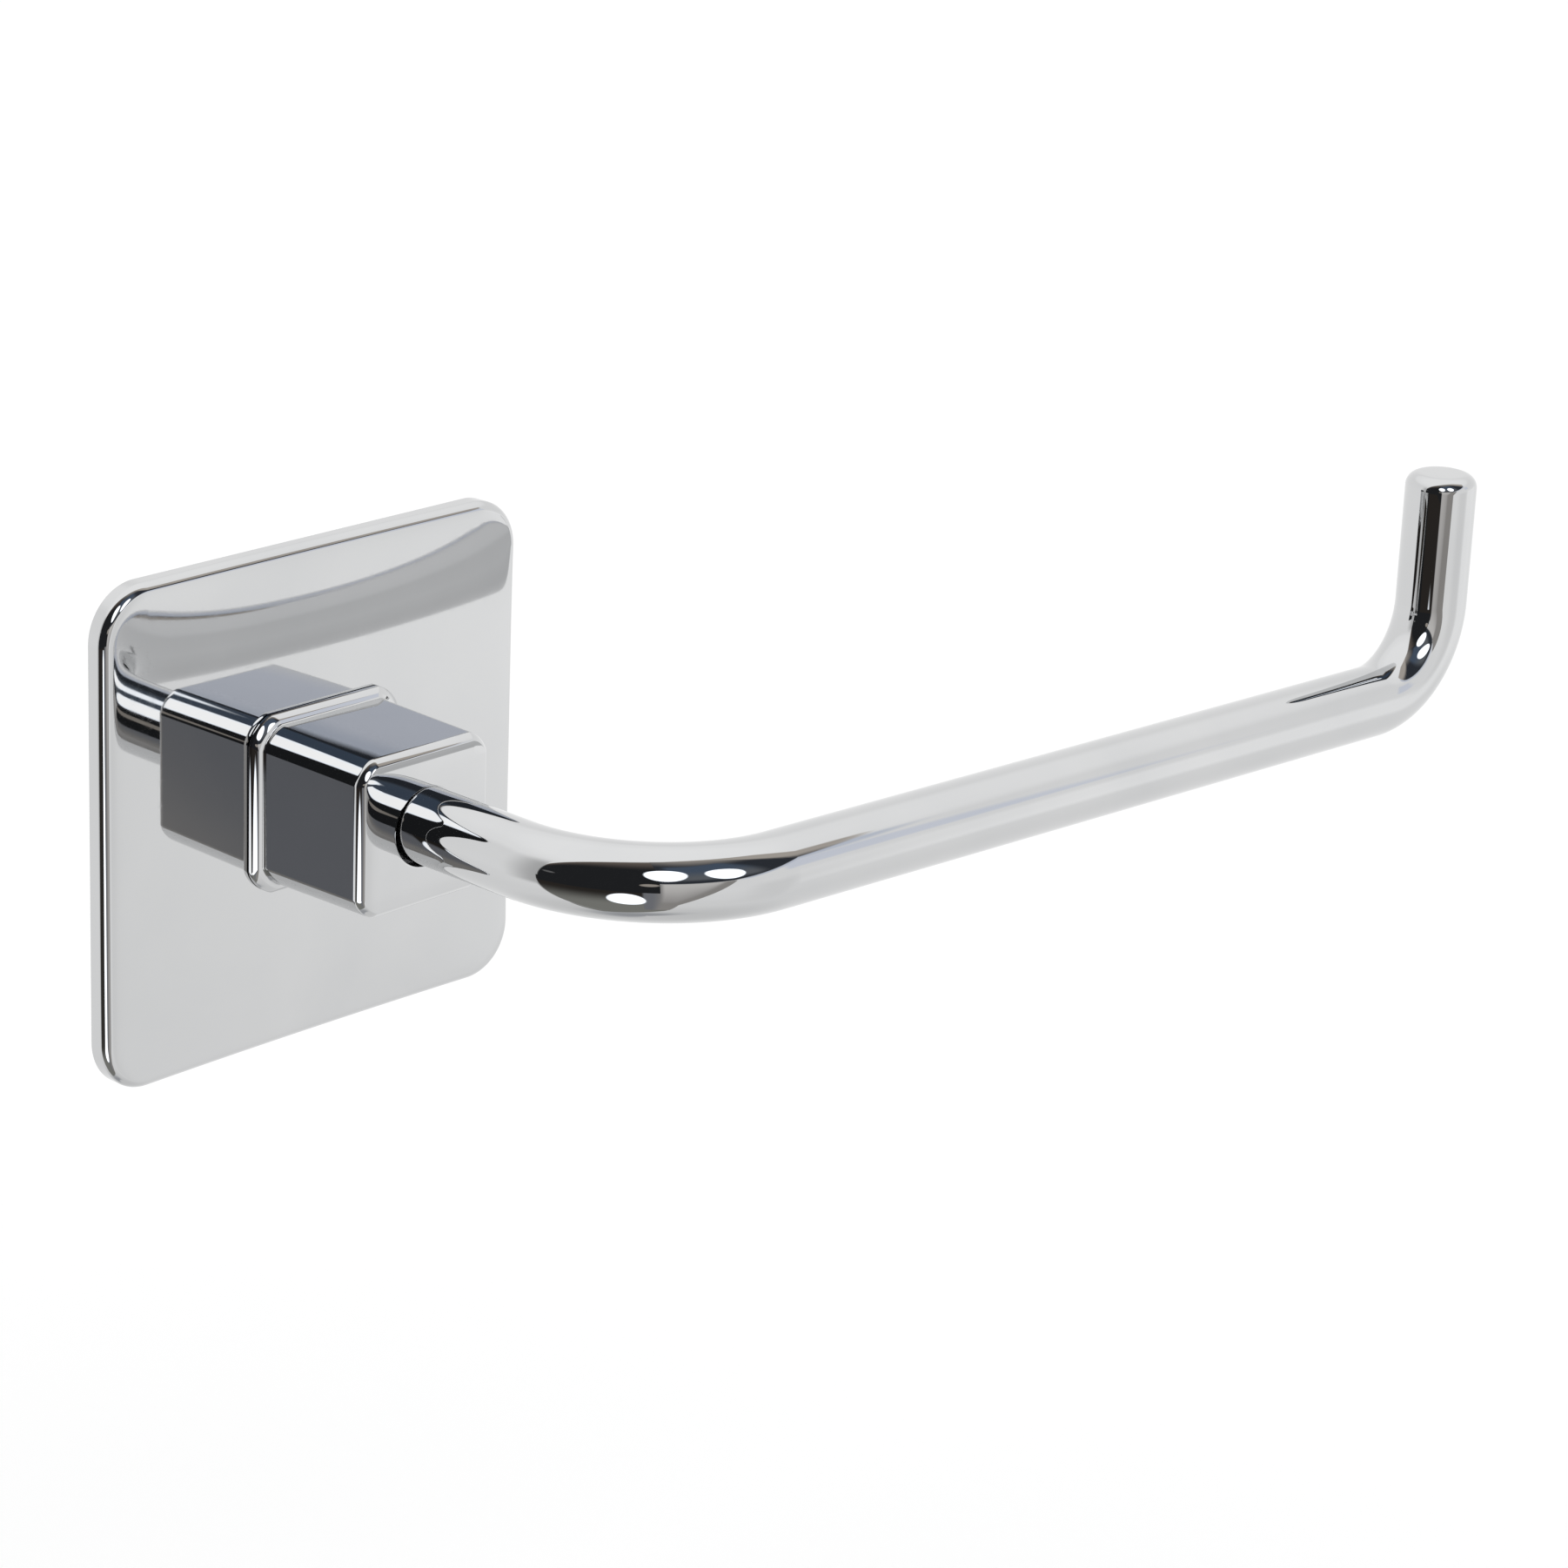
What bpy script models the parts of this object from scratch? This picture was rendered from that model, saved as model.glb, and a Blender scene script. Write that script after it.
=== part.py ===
"""Wall-held toilet paper holder: a thin square wall plate, a square boss and a bent, open-ended rod.

World frame: origin at the middle of the back face, on the wall. +X runs along the arm,
+Y points into the wall, +Z is up. The object fills the side y < 0. All sizes are in metres.
"""
import math

import bmesh
import bpy
from mathutils import Matrix, Vector

OBJECT_NAME = "toilet_paper_holder"
MM = 0.001

# Driving dimensions -----------------------------------------------------------------------
PLATE_WIDTH = 70.0 * MM
PLATE_HEIGHT = 66.5 * MM
PLATE_DEPTH = 3.05 * MM            # wall to the front face of the plate
PLATE_CORNER = 7.2 * MM
PLATE_EDGE = 1.2 * MM              # rounding between front face and rim
PLATE_SKIN = 0.8 * MM
RIM_SHADOW_GAP = 0.15 * MM         # the rim stops just short of the wall

BOSS_X = 0.74 * MM                 # the boss sits a little right of and above the plate's middle
BOSS_Z = 0.37 * MM
BOSS_HALF_WIDTH = 11.28 * MM       # at the plate
BOSS_HALF_HEIGHT = 10.70 * MM
BOSS_DEPTH = 19.6 * MM             # plate face to boss face
BOSS_DRAFT = 0.011                 # sideways taper for each unit of depth
BOSS_CORNER = 3.0 * MM
BOSS_FRONT_EDGE = 1.25 * MM
BOSS_WALL = 1.3 * MM
FLANGE_OVERHANG = 1.2 * MM
FLANGE_HEIGHT = 1.6 * MM
FLANGE_EDGE = 0.85 * MM
FLANGE_FILLET = 0.3 * MM
SEAM = 0.15 * MM                   # between pieces that touch

ROD_RADIUS = 5.0 * MM
ROD_SHIFT = 0.2 * MM               # the rod sits right of and above the middle of its hole
ROD_HOLE_CLEARANCE = 0.45 * MM
RUN_DISTANCE = 61.9 * MM           # wall to where a square bend's run would be centred
FIRST_BEND_RADIUS = 22.5 * MM
FIRST_BEND_ANGLE = math.radians(88.0)
RUN_LENGTH = 117.6 * MM            # straight part between the two bends
SECOND_BEND_RADIUS = 12.6 * MM
SECOND_BEND_ANGLE = math.radians(90.8)
TIP_LENGTH = 18.5 * MM
TIP_EDGE = 1.9 * MM
ARM_DROOP = math.radians(1.2)      # the arm hangs this far below level

PAD_THICKNESS = 0.8 * MM
PAD_MARGIN = 3.0 * MM              # pad edge to plate edge
CARRIER_MARGIN = 1.1 * MM
CARRIER_THICKNESS = 1.1 * MM

CORE_CLEARANCE = 0.5 * MM          # core to the inside of the cover
CORE_CORNER = 1.2 * MM
CORE_NECK_INSET = 1.9 * MM         # the neck that passes through the plate is this much narrower
CORE_NECK_CORNER = 1.5 * MM
ROD_INSERTION = 12.0 * MM          # depth of the rod's socket in the core
SOCKET_CLEARANCE = 0.1 * MM
CORE_WEB = 2.0 * MM

CORE_SCREW_RADIUS = 1.5 * MM
CORE_SCREW_HEAD_RADIUS = 2.8 * MM
CORE_SCREW_LENGTH = 8.5 * MM
CORE_SCREW_X = 5.5 * MM
CORE_SCREW_Z = 5.1 * MM
ARM_SCREW_RADIUS = 2.0 * MM
ARM_SCREW_HEAD_RADIUS = 3.8 * MM
ARM_SCREW_HEAD_HEIGHT = 2.0 * MM
ARM_SCREW_REACH = 5.0 * MM         # how far it threads into the rod
WASHER_RADIUS = 4.1 * MM
FLAT_WASHER_THICKNESS = 0.7 * MM
SPRING_WASHER_THICKNESS = 0.9 * MM
COUNTERBORE_RADIUS = 4.4 * MM
PIN_RADIUS = 1.0 * MM
PIN_HOLE_RADIUS = 1.15 * MM
GRUB_RADIUS = 1.5 * MM
GRUB_LENGTH = 3.6 * MM
GRUB_DEPTH = 6.5 * MM              # plate face to the grub screw's axis
HOLE_CLEARANCE = 0.15 * MM
HEX_DEPTH = 1.5 * MM

CORNER_STEPS = 8                   # segments in each rounded corner of a lofted ring
ROD_BEVEL_RESOLUTION = 12
BEND_STEP = math.radians(6.0)

# Worked-out positions ----------------------------------------------------------------------
PLATE_FACE_Y = -PLATE_DEPTH
PLATE_INSIDE_Y = -(PLATE_DEPTH - PLATE_SKIN)
CARRIER_BACK_Y = -(PAD_THICKNESS + SEAM)
CARRIER_FRONT_Y = CARRIER_BACK_Y - CARRIER_THICKNESS
BOSS_FACE_Y = PLATE_FACE_Y - BOSS_DEPTH
COVER_INSIDE_Y = BOSS_FACE_Y + BOSS_WALL
CORE_FACE_Y = COVER_INSIDE_Y + CORE_CLEARANCE
CORE_SHOULDER_Y = PLATE_FACE_Y - SEAM
CORE_BACK_Y = CARRIER_FRONT_Y - SEAM
CORE_HALF_WIDTH = BOSS_HALF_WIDTH - BOSS_DRAFT * BOSS_DEPTH - BOSS_WALL - CORE_CLEARANCE
CORE_HALF_HEIGHT = BOSS_HALF_HEIGHT - BOSS_DRAFT * BOSS_DEPTH - BOSS_WALL - CORE_CLEARANCE
SOCKET_BOTTOM_Y = CORE_FACE_Y + ROD_INSERTION
ROD_START_Y = SOCKET_BOTTOM_Y - SEAM
COUNTERBORE_Y = SOCKET_BOTTOM_Y + CORE_WEB
ROD_X = BOSS_X + ROD_SHIFT
ROD_Z = BOSS_Z + ROD_SHIFT
PIN_Y = CORE_FACE_Y + 3.4 * MM


# Scene helpers -----------------------------------------------------------------------------
def clear_scene():
    for old in list(bpy.data.objects):
        bpy.data.objects.remove(old, do_unlink=True)


def make_collection(name):
    collection = bpy.data.collections.new(name)
    bpy.context.scene.collection.children.link(collection)
    return collection


def make_material(name, colour, metallic, roughness):
    material = bpy.data.materials.new(name)
    material.use_nodes = True
    shader = material.node_tree.nodes["Principled BSDF"]
    shader.inputs["Base Color"].default_value = (*colour, 1.0)
    shader.inputs["Metallic"].default_value = metallic
    shader.inputs["Roughness"].default_value = roughness
    material.diffuse_color = (*colour, 1.0)
    return material


def add_object(name, mesh, collection, material=None, smooth=True):
    if material:
        mesh.materials.append(material)
    for face in mesh.polygons:
        face.use_smooth = smooth
    thing = bpy.data.objects.new(name, mesh)
    collection.objects.link(thing)
    return thing


def mesh_from_bmesh(name, shape):
    bmesh.ops.recalc_face_normals(shape, faces=shape.faces)
    mesh = bpy.data.meshes.new(name)
    shape.to_mesh(mesh)
    shape.free()
    return mesh


def boolean(target, tool, operation):
    modifier = target.modifiers.new(f"{operation.lower()}_{tool.name}", "BOOLEAN")
    modifier.operation = operation
    modifier.solver = "EXACT"
    modifier.object = tool


# Shape helpers -----------------------------------------------------------------------------
def rounded_ring(half_width, half_height, corner, y, centre=(0.0, 0.0)):
    """One ring of points round a rounded rectangle that faces along Y."""
    points = []
    for quarter, (side_x, side_z) in enumerate(((1, 1), (-1, 1), (-1, -1), (1, -1))):
        for step in range(CORNER_STEPS + 1):
            angle = math.radians(90.0) * (quarter + step / CORNER_STEPS)
            x = centre[0] + side_x * (half_width - corner) + corner * math.cos(angle)
            z = centre[1] + side_z * (half_height - corner) + corner * math.sin(angle)
            points.append(Vector((x, y, z)))
    return points


def circle_ring(radius, y, centre):
    """A round ring with as many points as a rounded ring, so that the two can be joined."""
    count = 4 * (CORNER_STEPS + 1)
    points = []
    for index in range(count):
        angle = 2.0 * math.pi * (index + 0.5) / count
        points.append(Vector((centre[0] + radius * math.cos(angle), y, centre[1] + radius * math.sin(angle))))
    return points


def loft_round_a_hole(name, rings):
    """Join rings in order, and the last one to the first, into one closed skin."""
    shape = bmesh.new()
    loops = [[shape.verts.new(point) for point in ring] for ring in rings]
    for index, loop in enumerate(loops):
        following = loops[(index + 1) % len(loops)]
        for start in range(len(loop)):
            end = (start + 1) % len(loop)
            shape.faces.new((loop[start], loop[end], following[end], following[start]))
    return mesh_from_bmesh(name, shape)


def arc_offsets(radius, steps, start_degrees, end_degrees):
    """Points (across, along) of an arc about the origin."""
    points = []
    for step in range(steps + 1):
        angle = math.radians(start_degrees + (end_degrees - start_degrees) * step / steps)
        points.append((radius * math.cos(angle), radius * math.sin(angle)))
    return points


def rounded_block_mesh(name, half_width, half_height, corner, back_y, front_y, centre=(0.0, 0.0)):
    """A box with its four Y edges rounded."""
    shape = bmesh.new()
    bmesh.ops.create_cube(shape, size=1.0)
    size = (2.0 * half_width, back_y - front_y, 2.0 * half_height)
    place = Vector((centre[0], 0.5 * (back_y + front_y), centre[1]))
    bmesh.ops.transform(shape, matrix=Matrix.LocRotScale(place, None, size), verts=shape.verts)
    long_edges = [e for e in shape.edges if abs(e.verts[0].co.y - e.verts[1].co.y) > 0.5 * size[1]]
    bmesh.ops.bevel(shape, geom=long_edges, offset=corner, segments=CORNER_STEPS, profile=0.5, affect="EDGES")
    return mesh_from_bmesh(name, shape)


def cone_mesh(name, start, end, start_radius, end_radius, sides=32):
    """A cylinder or cone between two points."""
    axis = Vector(end) - Vector(start)
    turn = Vector((0.0, 0.0, 1.0)).rotation_difference(axis).to_matrix().to_4x4()
    middle = Matrix.Translation((Vector(start) + Vector(end)) / 2.0)
    shape = bmesh.new()
    bmesh.ops.create_cone(
        shape,
        cap_ends=True,
        segments=sides,
        radius1=start_radius,
        radius2=end_radius,
        depth=axis.length,
    )
    bmesh.ops.transform(shape, matrix=middle @ turn, verts=shape.verts)
    return mesh_from_bmesh(name, shape)


def cut_hole(target, name, start, end, start_radius, cutters, end_radius=None, sides=32):
    """Cut a round or many-sided hole from one point to another."""
    mesh = cone_mesh(name, start, end, start_radius, end_radius or start_radius, sides)
    cutter = add_object(name, mesh, cutters)
    cutter.hide_render = True
    cutter.display_type = "WIRE"
    boolean(target, cutter, "DIFFERENCE")


def turned_mesh(name, profile, centre, sides=32):
    """A closed profile of (radius, y) points turned about an axis along Y."""
    shape = bmesh.new()
    verts = [shape.verts.new((centre[0] + radius, y, centre[1])) for radius, y in profile]
    edges = [shape.edges.new((verts[i], verts[(i + 1) % len(verts)])) for i in range(len(verts))]
    bmesh.ops.spin(
        shape,
        geom=verts + edges,
        cent=(centre[0], 0.0, centre[1]),
        axis=(0.0, 1.0, 0.0),
        angle=2.0 * math.pi,
        steps=sides,
        use_merge=True,
    )
    bmesh.ops.remove_doubles(shape, verts=shape.verts, dist=1e-6)
    return mesh_from_bmesh(name, shape)


# Wall plate --------------------------------------------------------------------------------
def make_adhesive_pad(parts):
    half_width = PLATE_WIDTH / 2.0 - PAD_MARGIN
    half_height = PLATE_HEIGHT / 2.0 - PAD_MARGIN
    corner = PLATE_CORNER - PAD_MARGIN
    mesh = rounded_block_mesh("adhesive_pad", half_width, half_height, corner, 0.0, -PAD_THICKNESS)
    add_object("adhesive_pad", mesh, parts, make_material("foam_tape", (0.05, 0.05, 0.05), 0.0, 0.9), False)


def core_screw_places():
    for side_x in (-1, 1):
        for side_z in (-1, 1):
            yield BOSS_X + side_x * CORE_SCREW_X, BOSS_Z + side_z * CORE_SCREW_Z


def make_backing_plate(parts, cutters):
    half_width = PLATE_WIDTH / 2.0 - CARRIER_MARGIN
    half_height = PLATE_HEIGHT / 2.0 - CARRIER_MARGIN
    corner = PLATE_CORNER - CARRIER_MARGIN
    mesh = rounded_block_mesh(
        "backing_plate", half_width, half_height, corner, CARRIER_BACK_Y, CARRIER_FRONT_Y
    )
    steel = make_material("zinc_plated_steel", (0.55, 0.56, 0.58), 1.0, 0.4)
    plate = add_object("backing_plate", mesh, parts, steel, False)
    reach = 0.2 * MM
    for index, (x, z) in enumerate(core_screw_places()):
        cut_hole(
            plate,
            f"countersink_{index}",
            (x, CARRIER_BACK_Y + reach, z),
            (x, CARRIER_FRONT_Y - reach, z),
            CORE_SCREW_HEAD_RADIUS + HOLE_CLEARANCE + reach,
            cutters,
            CORE_SCREW_HEAD_RADIUS + HOLE_CLEARANCE - CARRIER_THICKNESS - reach,
        )


def make_face_plate(parts):
    """A pressed pan: mirror face, small rounded edge, rim turned back towards the wall."""
    half_width = PLATE_WIDTH / 2.0
    half_height = PLATE_HEIGHT / 2.0
    rings = []

    def outline(inset, y):
        rings.append(rounded_ring(half_width - inset, half_height - inset, PLATE_CORNER - inset, y))

    outline(0.0, -RIM_SHADOW_GAP)
    for across, along in arc_offsets(PLATE_EDGE, 4, 0.0, 90.0):
        outline(PLATE_EDGE - across, PLATE_FACE_Y + PLATE_EDGE - along)
    opening = (CORE_HALF_WIDTH - CORE_NECK_INSET + SEAM, CORE_HALF_HEIGHT - CORE_NECK_INSET + SEAM)
    centre = (BOSS_X, BOSS_Z)
    rings.append(rounded_ring(*opening, CORE_NECK_CORNER + SEAM, PLATE_FACE_Y, centre))
    rings.append(rounded_ring(*opening, CORE_NECK_CORNER + SEAM, PLATE_INSIDE_Y, centre))
    outline(PLATE_SKIN, PLATE_INSIDE_Y)
    outline(PLATE_SKIN, -RIM_SHADOW_GAP)
    mesh = loft_round_a_hole("face_plate", rings)
    add_object("face_plate", mesh, parts, make_material("plate_chrome", (0.87, 0.88, 0.9), 1.0, 0.04))


# Boss --------------------------------------------------------------------------------------
def make_boss_cover(parts, cutters):
    """A hollow drafted square cover: flange, hollow fillet, wall, rounded front edge, round hole."""
    centre = (BOSS_X, BOSS_Z)
    rings = []

    def outline(outset, height):
        grow = outset - BOSS_DRAFT * height
        half_width = BOSS_HALF_WIDTH + grow
        half_height = BOSS_HALF_HEIGHT + grow
        y = PLATE_FACE_Y - height
        rings.append(rounded_ring(half_width, half_height, BOSS_CORNER + min(outset, 0.5 * MM), y, centre))

    outline(FLANGE_OVERHANG, SEAM)
    for across, along in arc_offsets(FLANGE_EDGE, 3, 0.0, 90.0):
        outline(FLANGE_OVERHANG - FLANGE_EDGE + across, FLANGE_HEIGHT - FLANGE_EDGE + along)
    for across, along in arc_offsets(FLANGE_FILLET, 4, 270.0, 180.0):
        outline(FLANGE_FILLET + across, FLANGE_HEIGHT + FLANGE_FILLET + along)
    for across, along in arc_offsets(BOSS_FRONT_EDGE, 5, 0.0, 90.0):
        outline(across - BOSS_FRONT_EDGE, BOSS_DEPTH - BOSS_FRONT_EDGE + along)
    hole_radius = ROD_RADIUS + ROD_HOLE_CLEARANCE
    rings.append(circle_ring(hole_radius, BOSS_FACE_Y, centre))
    rings.append(circle_ring(hole_radius, COVER_INSIDE_Y, centre))
    outline(-BOSS_WALL, BOSS_DEPTH - BOSS_WALL)
    outline(-BOSS_WALL, SEAM)
    mesh = loft_round_a_hole("boss_cover", rings)
    cover = add_object("boss_cover", mesh, parts, make_material("boss_chrome", (0.86, 0.87, 0.89), 1.0, 0.05))
    grub_y = PLATE_FACE_Y - GRUB_DEPTH
    cut_hole(
        cover,
        "cover_grub_hole",
        (BOSS_X, grub_y, BOSS_Z - BOSS_HALF_HEIGHT - 1.0 * MM),
        (BOSS_X, grub_y, BOSS_Z - CORE_HALF_HEIGHT),
        GRUB_RADIUS + HOLE_CLEARANCE,
        cutters,
        sides=24,
    )


def make_boss_core(parts, cutters):
    """The cast block inside the cover: a neck through the plate, the rod's socket and the screw holes."""
    centre = (BOSS_X, BOSS_Z)
    mesh = rounded_block_mesh(
        "boss_core", CORE_HALF_WIDTH, CORE_HALF_HEIGHT, CORE_CORNER, CORE_SHOULDER_Y, CORE_FACE_Y, centre
    )
    core = add_object("boss_core", mesh, parts, make_material("cast_zinc", (0.32, 0.33, 0.35), 1.0, 0.5), False)
    neck_mesh = rounded_block_mesh(
        "core_neck",
        CORE_HALF_WIDTH - CORE_NECK_INSET,
        CORE_HALF_HEIGHT - CORE_NECK_INSET,
        CORE_NECK_CORNER,
        CORE_BACK_Y,
        CORE_SHOULDER_Y - 1.0 * MM,
        centre,
    )
    neck = add_object("core_neck", neck_mesh, cutters, smooth=False)
    neck.hide_render = True
    neck.display_type = "WIRE"
    boolean(core, neck, "UNION")
    over = 1.0 * MM
    cut_hole(
        core,
        "rod_socket",
        (ROD_X, CORE_FACE_Y - over, ROD_Z),
        (ROD_X, SOCKET_BOTTOM_Y, ROD_Z),
        ROD_RADIUS + SOCKET_CLEARANCE,
        cutters,
        sides=2 * (ROD_BEVEL_RESOLUTION + 2),
    )
    cut_hole(
        core,
        "arm_screw_hole",
        (ROD_X, SOCKET_BOTTOM_Y - over, ROD_Z),
        (ROD_X, COUNTERBORE_Y + over, ROD_Z),
        ARM_SCREW_RADIUS + HOLE_CLEARANCE,
        cutters,
    )
    cut_hole(
        core,
        "arm_screw_counterbore",
        (ROD_X, COUNTERBORE_Y, ROD_Z),
        (ROD_X, CORE_BACK_Y + over, ROD_Z),
        COUNTERBORE_RADIUS,
        cutters,
    )
    for index, (x, z) in enumerate(core_screw_places()):
        cut_hole(
            core,
            f"core_screw_hole_{index}",
            (x, CORE_BACK_Y + over, z),
            (x, CARRIER_BACK_Y - CORE_SCREW_LENGTH - HOLE_CLEARANCE, z),
            CORE_SCREW_RADIUS + HOLE_CLEARANCE,
            cutters,
            sides=16,
        )
    cut_hole(
        core,
        "core_pin_hole",
        (BOSS_X - BOSS_HALF_WIDTH, PIN_Y, ROD_Z),
        (BOSS_X + BOSS_HALF_WIDTH, PIN_Y, ROD_Z),
        PIN_HOLE_RADIUS,
        cutters,
        sides=16,
    )
    grub_y = PLATE_FACE_Y - GRUB_DEPTH
    cut_hole(
        core,
        "core_grub_dimple",
        (BOSS_X, grub_y, BOSS_Z - BOSS_HALF_HEIGHT),
        (BOSS_X, grub_y, grub_top_z() + SEAM),
        GRUB_RADIUS + HOLE_CLEARANCE,
        cutters,
        sides=24,
    )


def make_core_screws(parts):
    """Four countersunk screws that clamp backing plate and face plate to the core."""
    head_height = CORE_SCREW_HEAD_RADIUS - CORE_SCREW_RADIUS
    back_y = CARRIER_BACK_Y
    profile = (
        (0.0, back_y),
        (CORE_SCREW_HEAD_RADIUS - 0.1 * MM, back_y),
        (CORE_SCREW_HEAD_RADIUS - 0.1 * MM, back_y - 0.1 * MM),
        (CORE_SCREW_RADIUS, back_y - head_height),
        (CORE_SCREW_RADIUS, back_y - CORE_SCREW_LENGTH + 0.5 * MM),
        (CORE_SCREW_RADIUS - 0.5 * MM, back_y - CORE_SCREW_LENGTH),
        (0.0, back_y - CORE_SCREW_LENGTH),
    )
    for index, (x, z) in enumerate(core_screw_places(), start=1):
        name = f"core_screw_{index}"
        steel = make_material(f"{name}_steel", (0.5, 0.5, 0.52), 1.0, 0.35)
        add_object(name, turned_mesh(name, profile, (x, z), 16), parts, steel)


def grub_bottom_z():
    draft = BOSS_DRAFT * GRUB_DEPTH
    return BOSS_Z - BOSS_HALF_HEIGHT + draft + 0.3 * MM


def grub_top_z():
    return grub_bottom_z() + GRUB_LENGTH


def make_grub_screw(parts, cutters):
    """The hexagon-socket screw under the boss that locks the cover on its core."""
    grub_y = PLATE_FACE_Y - GRUB_DEPTH
    bottom = (BOSS_X, grub_y, grub_bottom_z())
    top = (BOSS_X, grub_y, grub_top_z())
    mesh = cone_mesh("grub_screw", bottom, top, GRUB_RADIUS, GRUB_RADIUS, 24)
    grub = add_object("grub_screw", mesh, parts, make_material("black_steel", (0.06, 0.06, 0.065), 1.0, 0.4))
    chamfer = grub.modifiers.new("chamfer", "BEVEL")
    chamfer.width = 0.25 * MM
    chamfer.segments = 1
    chamfer.limit_method = "ANGLE"
    chamfer.angle_limit = math.radians(60.0)
    cut_hole(
        grub,
        "grub_hexagon",
        (BOSS_X, grub_y, bottom[2] - 1.0 * MM),
        (BOSS_X, grub_y, bottom[2] + HEX_DEPTH),
        0.87 * MM,
        cutters,
        sides=6,
    )


# Arm ---------------------------------------------------------------------------------------
def arm_path():
    """Centreline of the rod: out of the boss, round to +X, along, and up at the tip."""
    outward = Vector((0.0, -1.0, 0.0))
    sideways = Vector((1.0, 0.0, 0.0))
    upward = Vector((0.0, 0.0, 1.0))
    points = [Vector((0.0, ROD_START_Y, 0.0))]
    bend_start = outward * (RUN_DISTANCE - FIRST_BEND_RADIUS)
    steps = round(FIRST_BEND_ANGLE / BEND_STEP)
    for step in range(steps + 1):
        angle = FIRST_BEND_ANGLE * step / steps
        across = sideways * (1.0 - math.cos(angle))
        points.append(bend_start + FIRST_BEND_RADIUS * (across + outward * math.sin(angle)))
    along = outward * math.cos(FIRST_BEND_ANGLE) + sideways * math.sin(FIRST_BEND_ANGLE)
    bend_start = points[-1] + along * RUN_LENGTH
    steps = round(SECOND_BEND_ANGLE / BEND_STEP)
    for step in range(steps + 1):
        angle = SECOND_BEND_ANGLE * step / steps
        rise = upward * (1.0 - math.cos(angle))
        points.append(bend_start + SECOND_BEND_RADIUS * (rise + along * math.sin(angle)))
    tip_direction = along * math.cos(SECOND_BEND_ANGLE) + upward * math.sin(SECOND_BEND_ANGLE)
    points.append(points[-1] + tip_direction * TIP_LENGTH)
    droop = Matrix.Rotation(ARM_DROOP, 3, "Y")
    return [droop @ point + Vector((ROD_X, 0.0, ROD_Z)) for point in points]


def make_arm_rod(parts, cutters):
    """A solid bent rod with a rounded free end, tapped and cross-drilled at the boss end."""
    points = arm_path()
    curve = bpy.data.curves.new("arm_rod_path", "CURVE")
    curve.dimensions = "3D"
    curve.bevel_depth = ROD_RADIUS
    curve.bevel_resolution = ROD_BEVEL_RESOLUTION
    curve.use_fill_caps = True
    spline = curve.splines.new("POLY")
    spline.points.add(len(points) - 1)
    for target, point in zip(spline.points, points):
        target.co = (*point, 1.0)
    path = bpy.data.objects.new("arm_rod_path", curve)
    parts.objects.link(path)
    bpy.context.view_layer.update()
    evaluated = path.evaluated_get(bpy.context.evaluated_depsgraph_get())
    mesh = bpy.data.meshes.new_from_object(evaluated)
    mesh.transform(path.matrix_world)
    bpy.data.objects.remove(path)

    shape = bmesh.new()
    shape.from_mesh(mesh)
    bmesh.ops.remove_doubles(shape, verts=shape.verts, dist=1e-6)
    tip = points[-1]

    def at_the_tip(item):
        return all((vert.co - tip).length < ROD_RADIUS + 0.01 * MM for vert in item.verts)

    cap = bmesh.ops.dissolve_faces(shape, faces=[face for face in shape.faces if at_the_tip(face)])
    rim = list(cap["region"][0].edges)
    bmesh.ops.bevel(shape, geom=rim, offset=TIP_EDGE, segments=5, profile=0.5, affect="EDGES")
    shape.to_mesh(mesh)
    shape.free()
    rod = add_object("arm_rod", mesh, parts, make_material("rod_chrome", (0.88, 0.88, 0.9), 1.0, 0.04))
    cut_hole(
        rod,
        "rod_tapped_hole",
        (ROD_X, ROD_START_Y + 1.0 * MM, ROD_Z),
        (ROD_X, ROD_START_Y - ARM_SCREW_REACH - 0.5 * MM, ROD_Z),
        ARM_SCREW_RADIUS + HOLE_CLEARANCE,
        cutters,
    )
    cut_hole(
        rod,
        "rod_pin_hole",
        (ROD_X - 2.0 * ROD_RADIUS, PIN_Y, ROD_Z),
        (ROD_X + 2.0 * ROD_RADIUS, PIN_Y, ROD_Z),
        PIN_HOLE_RADIUS,
        cutters,
        sides=16,
    )


def make_arm_pin(parts):
    """The cross pin that stops the arm turning in its socket."""
    reach = CORE_HALF_WIDTH - 0.2 * MM
    mesh = cone_mesh(
        "arm_pin", (BOSS_X - reach, PIN_Y, ROD_Z), (BOSS_X + reach, PIN_Y, ROD_Z), PIN_RADIUS, PIN_RADIUS, 16
    )
    add_object("arm_pin", mesh, parts, make_material("pin_steel", (0.45, 0.45, 0.47), 1.0, 0.3))


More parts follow.
